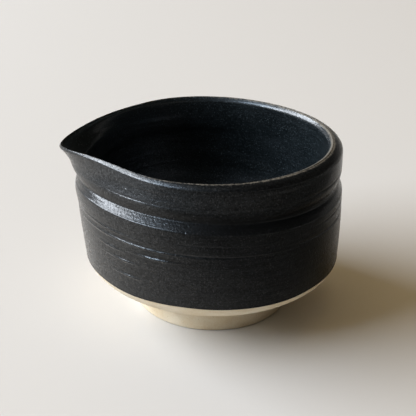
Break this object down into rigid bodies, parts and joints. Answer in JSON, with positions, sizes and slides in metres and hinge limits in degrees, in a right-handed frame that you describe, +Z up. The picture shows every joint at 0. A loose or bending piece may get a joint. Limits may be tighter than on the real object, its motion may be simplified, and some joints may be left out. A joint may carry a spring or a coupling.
{
  "type": "tea bowl",
  "caption": "Thrown stoneware tea bowl with a pulled pouring lip, a cut step round the wall, satin black glaze and a bare clay foot ring.",
  "frame": {"origin": "bottom centre of the bowl's overall box, on the plane of the foot's standing face", "axes": "+Z up out of the bowl's mouth, the spout points along -X, the bowl is the same on both sides of the XZ plane"},
  "size_m": [0.1288, 0.119, 0.08],
  "materials": {
    "bare_clay": "bare fired buff stoneware, dry and finely grained",
    "foot_clay": "bare fired buff stoneware, with fine turning lines",
    "outer_glaze": "satin black glaze over throwing lines",
    "inner_glaze": "satin black glaze, a little smoother than outside"
  },
  "bodies": {
    "root": {"clay_body": "bare_clay", "foot_ring": "foot_clay", "outer_glaze": "outer_glaze", "inner_glaze": "inner_glaze"}
  },
  "joints": []
}
